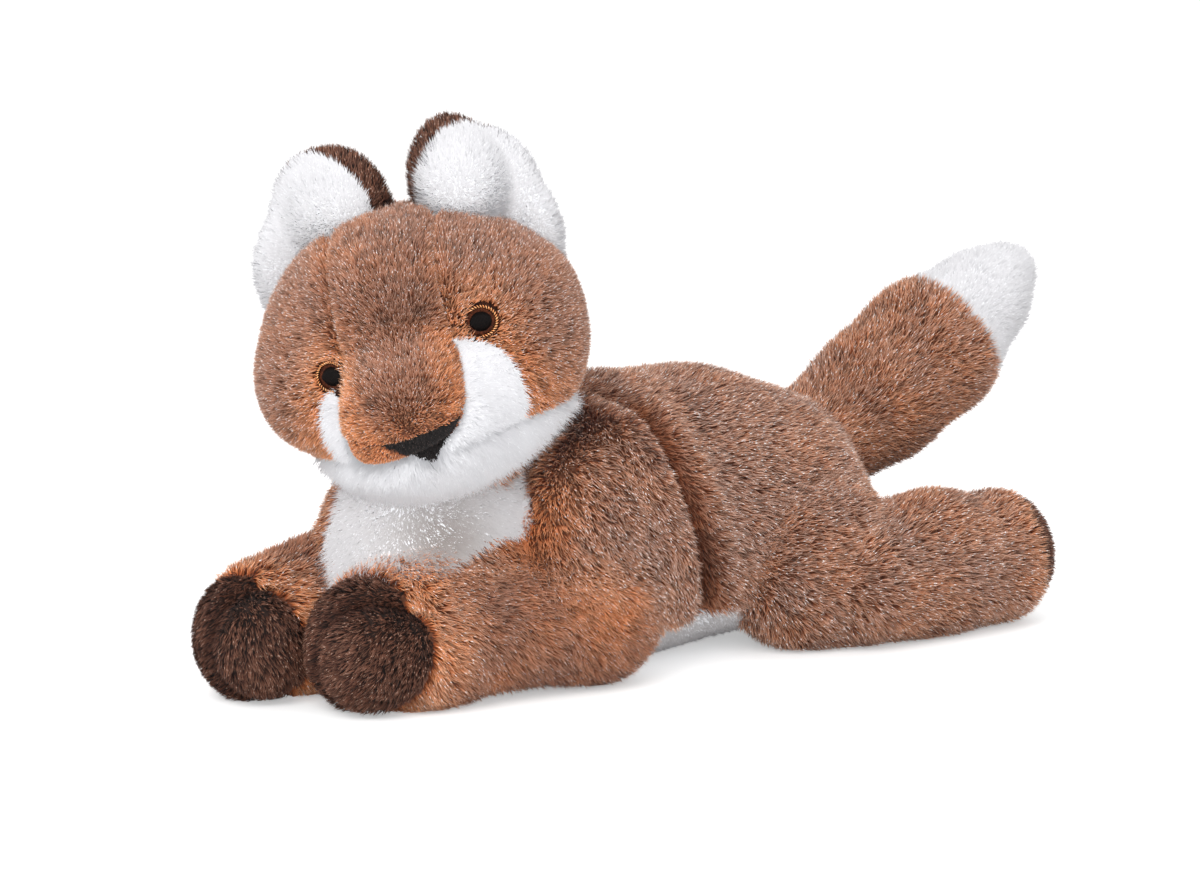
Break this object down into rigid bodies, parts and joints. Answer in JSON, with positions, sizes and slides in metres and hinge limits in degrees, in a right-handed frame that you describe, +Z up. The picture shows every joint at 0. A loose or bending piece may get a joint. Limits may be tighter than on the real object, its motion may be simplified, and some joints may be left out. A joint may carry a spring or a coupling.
{
  "type": "plush fox",
  "caption": "Lying stuffed toy fox in long-pile plush, head turned aside, front legs forward, hind legs back and a raised brush tail with a white tip.",
  "frame": {"origin": "middle of the belly's flat resting face, on the plane that the fox lies on", "axes": "+Z up; the trunk lies along Y with the front paws towards -Y and the tail towards +Y; +X is the fox's left side"},
  "size_m": [0.1528, 0.3529, 0.1954],
  "materials": {
    "plush_brown": "long-pile plush, taupe brown over a rust undercoat",
    "plush_dark": "short-pile plush, dark brown",
    "plush_white": "long-pile plush, white",
    "plush_nose": "short-pile plush, nearly black",
    "eye_thread": "embroidery thread, black pupil in a copper ring",
    "fibre_filling": "loose polyester fibre"
  },
  "bodies": {
    "torso": {"left_shoulder_panel": "plush_brown", "right_shoulder_panel": "plush_brown", "chest_panel": "plush_white", "left_back_panel": "plush_brown", "right_back_panel": "plush_brown", "belly_panel": "plush_white", "body_filling": "fibre_filling"},
    "neck": {"neck_filling": "fibre_filling"},
    "head": {"forehead_gusset": "plush_brown", "left_cheek_panel": "plush_brown", "right_cheek_panel": "plush_brown", "left_jowl_panel": "plush_white", "right_jowl_panel": "plush_white", "muzzle_top_panel": "plush_brown", "nose_patch": "plush_nose", "throat_ruff": "plush_white", "head_filling": "fibre_filling", "left_eye": "eye_thread", "right_eye": "eye_thread"},
    "left_ear": {"left_ear_lining": "plush_white", "left_ear_back": "plush_dark"},
    "right_ear": {"right_ear_lining": "plush_white", "right_ear_back": "plush_dark"},
    "left_front_leg": {"left_front_sleeve": "plush_brown", "left_front_paw_band": "plush_dark", "left_front_paw_pad": "plush_dark", "left_front_leg_filling": "fibre_filling"},
    "right_front_leg": {"right_front_sleeve": "plush_brown", "right_front_paw_band": "plush_dark", "right_front_paw_pad": "plush_dark", "right_front_leg_filling": "fibre_filling"},
    "left_hind_leg": {"left_hind_leg_skin": "plush_brown", "left_hind_sole": "plush_dark", "left_hind_leg_filling": "fibre_filling"},
    "right_hind_leg": {"right_hind_leg_skin": "plush_brown", "right_hind_sole": "plush_dark", "right_hind_leg_filling": "fibre_filling"},
    "tail": {"tail_skin": "plush_brown", "tail_tip": "plush_white", "tail_filling": "fibre_filling"}
  },
  "joints": [
    {"name": "head_turn", "type": "hinge", "parent": "torso", "child": "neck", "pos_m": [0, -0.062, 0.084], "axis": [0, 0, 1], "range_deg": [-20, 20], "stiffness_Nm_per_rad": 0.2},
    {"name": "head_nod", "type": "hinge", "parent": "neck", "child": "head", "pos_m": [0, -0.062, 0.084], "axis": [0.7193, 0.6947, 0], "range_deg": [-8, 8], "stiffness_Nm_per_rad": 2},
    {"name": "left_ear_fold", "type": "hinge", "parent": "head", "child": "left_ear", "pos_m": [0.00917, -0.05195, 0.15589], "axis": [0.6346, 0.6576, -0.4059], "range_deg": [-20, 20], "stiffness_Nm_per_rad": 0.05},
    {"name": "right_ear_fold", "type": "hinge", "parent": "head", "child": "right_ear", "pos_m": [-0.03271, -0.09239, 0.14137], "axis": [0.4654, 0.4046, 0.7872], "range_deg": [-20, 20], "stiffness_Nm_per_rad": 0.05},
    {"name": "left_front_leg_spread", "type": "hinge", "parent": "torso", "child": "left_front_leg", "pos_m": [0.031, -0.026, 0], "axis": [0, 0, 1], "range_deg": [0, 28], "stiffness_Nm_per_rad": 0.1},
    {"name": "right_front_leg_spread", "type": "hinge", "parent": "torso", "child": "right_front_leg", "pos_m": [-0.031, -0.044, 0], "axis": [0, 0, -1], "range_deg": [0, 28], "stiffness_Nm_per_rad": 0.1},
    {"name": "left_hind_leg_spread", "type": "hinge", "parent": "torso", "child": "left_hind_leg", "pos_m": [0.03, 0.066, 0], "axis": [0, 0, -1], "range_deg": [-12, 12], "stiffness_Nm_per_rad": 0.1},
    {"name": "right_hind_leg_spread", "type": "hinge", "parent": "torso", "child": "right_hind_leg", "pos_m": [-0.03, 0.066, 0], "axis": [0, 0, 1], "range_deg": [-12, 12], "stiffness_Nm_per_rad": 0.1},
    {"name": "tail_lift", "type": "hinge", "parent": "torso", "child": "tail", "pos_m": [0, 0.092, 0.056], "axis": [1, 0, 0], "range_deg": [-20, 20], "stiffness_Nm_per_rad": 1}
  ]
}
